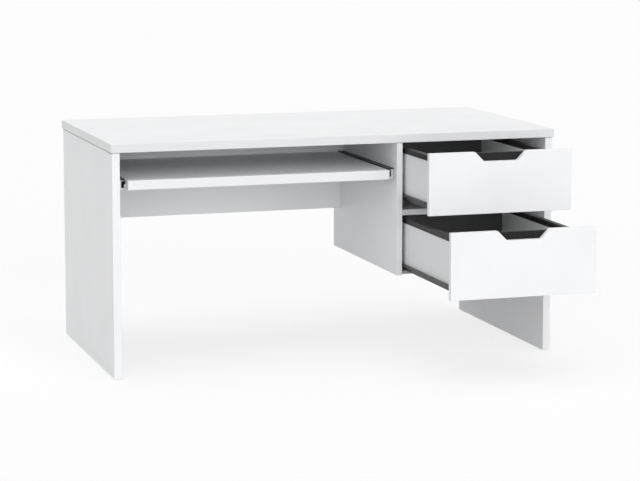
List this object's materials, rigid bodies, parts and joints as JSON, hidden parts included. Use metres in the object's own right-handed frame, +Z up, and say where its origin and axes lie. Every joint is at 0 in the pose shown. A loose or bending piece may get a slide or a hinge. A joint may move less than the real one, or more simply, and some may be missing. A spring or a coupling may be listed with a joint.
{
  "type": "writing desk with drawers",
  "caption": "White writing desk with panel sides, a hung drawer pedestal with notched fronts on the right and a pull-out keyboard tray over the knee space.",
  "frame": {"origin": "on the floor, under the middle of the whole desk's box with the drawers drawn out as at rest", "axes": "+X to the sitter's right along the desk's width, +Y from the sitter towards the back, +Z up"},
  "size_m": [1.5, 1.199, 0.75],
  "materials": {
    "white_board": "white satin melamine board with edge banding",
    "drawer_board": "light grey-white coated board",
    "graphite_board": "graphite coated board",
    "drawer_base": "coated hardboard",
    "charcoal_plastic": "fine-grained matt moulding",
    "runner_steel": "charcoal powder coat",
    "zinc_steel": "bright zinc plating",
    "black_plastic": "satin moulding",
    "ball_steel": "polished",
    "roller_nylon": "natural nylon",
    "glide_plastic": "satin moulding",
    "dowel_wood": "fluted beech"
  },
  "bodies": {
    "desk_frame": {"tabletop": "white_board", "side_left": "white_board", "side_right": "white_board", "divider": "white_board", "modesty_panel": "white_board", "pedestal_back": "white_board", "pedestal_bottom": "white_board", "drawer_rail": "white_board", "panel_dowels": "dowel_wood", "glide_left_front": "glide_plastic", "glide_left_rear": "glide_plastic", "glide_right_front": "glide_plastic", "glide_right_rear": "glide_plastic", "batten_upper": "white_board", "batten_lower": "white_board", "cabinet_runner_upper_left": "runner_steel", "cabinet_runner_upper_right": "runner_steel", "cabinet_runner_lower_left": "runner_steel", "cabinet_runner_lower_right": "runner_steel", "tray_outer_slide_left": "runner_steel", "tray_slide_stop_left": "black_plastic", "tray_outer_slide_right": "runner_steel", "tray_slide_stop_right": "black_plastic"},
    "upper_drawer": {"upper_drawer_front": "white_board", "upper_drawer_grip": "charcoal_plastic", "upper_drawer_bottom": "drawer_base", "upper_drawer_back": "graphite_board", "upper_drawer_side_left": "drawer_board", "upper_drawer_cap_left": "charcoal_plastic", "drawer_runner_upper_left": "runner_steel", "upper_drawer_side_right": "drawer_board", "upper_drawer_cap_right": "charcoal_plastic", "drawer_runner_upper_right": "runner_steel"},
    "lower_drawer": {"lower_drawer_front": "white_board", "lower_drawer_grip": "charcoal_plastic", "lower_drawer_bottom": "drawer_base", "lower_drawer_back": "graphite_board", "lower_drawer_side_left": "drawer_board", "lower_drawer_cap_left": "charcoal_plastic", "drawer_runner_lower_left": "runner_steel", "lower_drawer_side_right": "drawer_board", "lower_drawer_cap_right": "charcoal_plastic", "drawer_runner_lower_right": "runner_steel"},
    "keyboard_tray": {"tray_board": "white_board", "tray_inner_slide_left": "zinc_steel", "tray_inner_slide_right": "zinc_steel"},
    "ball_cage_left": {"tray_ball_cage_left": "black_plastic", "tray_balls_left": "ball_steel"},
    "ball_cage_right": {"tray_ball_cage_right": "black_plastic", "tray_balls_right": "ball_steel"},
    "cabinet_roller_upper_left": {"cabinet_roller_upper_left": "roller_nylon"},
    "drawer_roller_upper_left": {"drawer_roller_upper_left": "roller_nylon"},
    "cabinet_roller_upper_right": {"cabinet_roller_upper_right": "roller_nylon"},
    "drawer_roller_upper_right": {"drawer_roller_upper_right": "roller_nylon"},
    "cabinet_roller_lower_left": {"cabinet_roller_lower_left": "roller_nylon"},
    "drawer_roller_lower_left": {"drawer_roller_lower_left": "roller_nylon"},
    "cabinet_roller_lower_right": {"cabinet_roller_lower_right": "roller_nylon"},
    "drawer_roller_lower_right": {"drawer_roller_lower_right": "roller_nylon"}
  },
  "joints": [
    {"name": "upper_drawer_slide", "type": "slide", "parent": "desk_frame", "child": "upper_drawer", "axis": [0, -1, 0], "range_m": [-0.228, 0.222]},
    {"name": "lower_drawer_slide", "type": "slide", "parent": "desk_frame", "child": "lower_drawer", "axis": [0, -1, 0], "range_m": [-0.423, 0.027]},
    {"name": "keyboard_tray_slide", "type": "slide", "parent": "desk_frame", "child": "keyboard_tray", "axis": [0, -1, 0], "range_m": [0, 0.32]},
    {"name": "ball_cage_left_slide", "type": "slide", "parent": "desk_frame", "child": "ball_cage_left", "axis": [0, -1, 0], "range_m": [0, 0.16]},
    {"name": "ball_cage_right_slide", "type": "slide", "parent": "desk_frame", "child": "ball_cage_right", "axis": [0, -1, 0], "range_m": [0, 0.16]},
    {"name": "cabinet_roller_upper_left_turn", "type": "hinge", "parent": "desk_frame", "child": "cabinet_roller_upper_left", "pos_m": [0.22525, -0.1415, 0.5399], "axis": [1, 0, 0], "continuous": true},
    {"name": "drawer_roller_upper_left_turn", "type": "hinge", "parent": "upper_drawer", "child": "drawer_roller_upper_left", "pos_m": [0.22525, 0.1985, 0.5399], "axis": [1, 0, 0], "continuous": true},
    {"name": "cabinet_roller_upper_right_turn", "type": "hinge", "parent": "desk_frame", "child": "cabinet_roller_upper_right", "pos_m": [0.66575, -0.1415, 0.5399], "axis": [1, 0, 0], "continuous": true},
    {"name": "drawer_roller_upper_right_turn", "type": "hinge", "parent": "upper_drawer", "child": "drawer_roller_upper_right", "pos_m": [0.66575, 0.1985, 0.5399], "axis": [1, 0, 0], "continuous": true},
    {"name": "cabinet_roller_lower_left_turn", "type": "hinge", "parent": "desk_frame", "child": "cabinet_roller_lower_left", "pos_m": [0.22525, -0.1415, 0.3084], "axis": [1, 0, 0], "continuous": true},
    {"name": "drawer_roller_lower_left_turn", "type": "hinge", "parent": "lower_drawer", "child": "drawer_roller_lower_left", "pos_m": [0.22525, 0.0035, 0.3084], "axis": [1, 0, 0], "continuous": true},
    {"name": "cabinet_roller_lower_right_turn", "type": "hinge", "parent": "desk_frame", "child": "cabinet_roller_lower_right", "pos_m": [0.66575, -0.1415, 0.3084], "axis": [1, 0, 0], "continuous": true},
    {"name": "drawer_roller_lower_right_turn", "type": "hinge", "parent": "lower_drawer", "child": "drawer_roller_lower_right", "pos_m": [0.66575, 0.0035, 0.3084], "axis": [1, 0, 0], "continuous": true}
  ],
  "couplings": [
    {"joint": "ball_cage_left_slide", "follows": "keyboard_tray_slide", "ratio": 0.5},
    {"joint": "ball_cage_right_slide", "follows": "keyboard_tray_slide", "ratio": 0.5},
    {"joint": "cabinet_roller_upper_left_turn", "follows": "upper_drawer_slide", "rad_per_m": 100},
    {"joint": "drawer_roller_upper_left_turn", "follows": "upper_drawer_slide", "rad_per_m": 100},
    {"joint": "cabinet_roller_upper_right_turn", "follows": "upper_drawer_slide", "rad_per_m": 100},
    {"joint": "drawer_roller_upper_right_turn", "follows": "upper_drawer_slide", "rad_per_m": 100},
    {"joint": "cabinet_roller_lower_left_turn", "follows": "lower_drawer_slide", "rad_per_m": 100},
    {"joint": "drawer_roller_lower_left_turn", "follows": "lower_drawer_slide", "rad_per_m": 100},
    {"joint": "cabinet_roller_lower_right_turn", "follows": "lower_drawer_slide", "rad_per_m": 100},
    {"joint": "drawer_roller_lower_right_turn", "follows": "lower_drawer_slide", "rad_per_m": 100}
  ]
}
